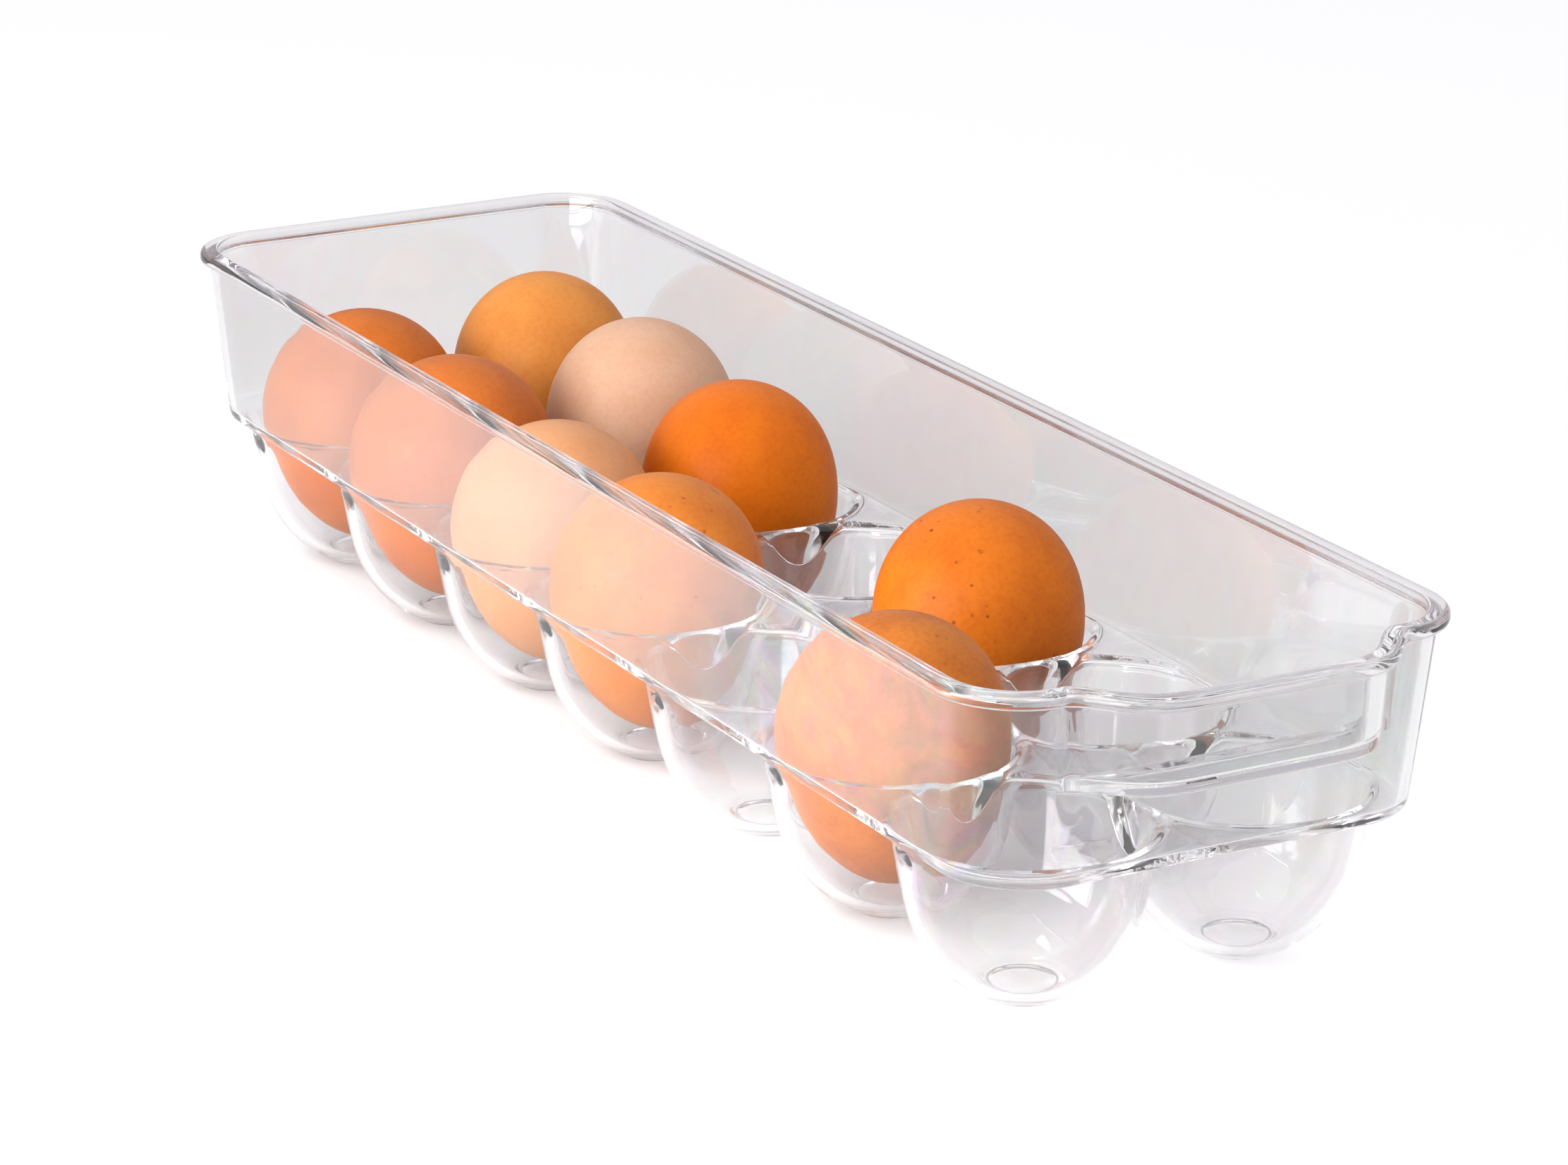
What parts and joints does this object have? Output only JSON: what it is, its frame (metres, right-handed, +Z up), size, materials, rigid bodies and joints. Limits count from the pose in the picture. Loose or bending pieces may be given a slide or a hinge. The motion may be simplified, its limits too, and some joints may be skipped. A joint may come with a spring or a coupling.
{
  "type": "egg holder tray",
  "caption": "Clear refrigerator bin with two rows of moulded egg cups, a rolled rim and a pull handle at one end, partly filled with brown eggs.",
  "frame": {"origin": "on the surface the cups stand on, under the middle of the overall box", "axes": "+Z up, +Y along the rows away from the handle end, +X across the two rows"},
  "size_m": [0.108, 0.3726, 0.0716],
  "materials": {
    "clear_plastic": "water-clear moulded polystyrene, polished both sides",
    "shell_brown": "brown egg shell, eggshell sheen with fine pores and speckles",
    "shell_tan": "light brown egg shell, eggshell sheen with fine pores and small dark speckles",
    "shell_beige": "pale beige egg shell, eggshell sheen with fine pores",
    "shell_orange": "deep orange-brown egg shell, eggshell sheen with fine pores and speckles"
  },
  "bodies": {
    "tray": {"bin_wall": "clear_plastic", "cup_near_1": "clear_plastic", "cup_near_2": "clear_plastic", "cup_near_3": "clear_plastic", "cup_near_4": "clear_plastic", "cup_near_5": "clear_plastic", "cup_near_6": "clear_plastic", "cup_near_7": "clear_plastic", "cup_far_1": "clear_plastic", "cup_far_2": "clear_plastic", "cup_far_3": "clear_plastic", "cup_far_4": "clear_plastic", "cup_far_5": "clear_plastic", "cup_far_6": "clear_plastic", "cup_far_7": "clear_plastic"},
    "egg_near_2": {"egg_near_2": "shell_brown"},
    "egg_near_4": {"egg_near_4": "shell_tan"},
    "egg_near_5": {"egg_near_5": "shell_beige"},
    "egg_near_6": {"egg_near_6": "shell_brown"},
    "egg_near_7": {"egg_near_7": "shell_brown"},
    "egg_far_3": {"egg_far_3": "shell_orange"},
    "egg_far_5": {"egg_far_5": "shell_orange"},
    "egg_far_6": {"egg_far_6": "shell_beige"},
    "egg_far_7": {"egg_far_7": "shell_tan"}
  },
  "joints": [
    {"name": "egg_near_2_lift", "type": "slide", "parent": "tray", "child": "egg_near_2", "axis": [0, 0, 1], "range_m": [0, 0.08]},
    {"name": "egg_near_4_lift", "type": "slide", "parent": "tray", "child": "egg_near_4", "axis": [0, 0, 1], "range_m": [0, 0.08]},
    {"name": "egg_near_5_lift", "type": "slide", "parent": "tray", "child": "egg_near_5", "axis": [0, 0, 1], "range_m": [0, 0.08]},
    {"name": "egg_near_6_lift", "type": "slide", "parent": "tray", "child": "egg_near_6", "axis": [0, 0, 1], "range_m": [0, 0.08]},
    {"name": "egg_near_7_lift", "type": "slide", "parent": "tray", "child": "egg_near_7", "axis": [0, 0, 1], "range_m": [0, 0.08]},
    {"name": "egg_far_3_lift", "type": "slide", "parent": "tray", "child": "egg_far_3", "axis": [0, 0, 1], "range_m": [0, 0.08]},
    {"name": "egg_far_5_lift", "type": "slide", "parent": "tray", "child": "egg_far_5", "axis": [0, 0, 1], "range_m": [0, 0.08]},
    {"name": "egg_far_6_lift", "type": "slide", "parent": "tray", "child": "egg_far_6", "axis": [0, 0, 1], "range_m": [0, 0.08]},
    {"name": "egg_far_7_lift", "type": "slide", "parent": "tray", "child": "egg_far_7", "axis": [0, 0, 1], "range_m": [0, 0.08]}
  ]
}
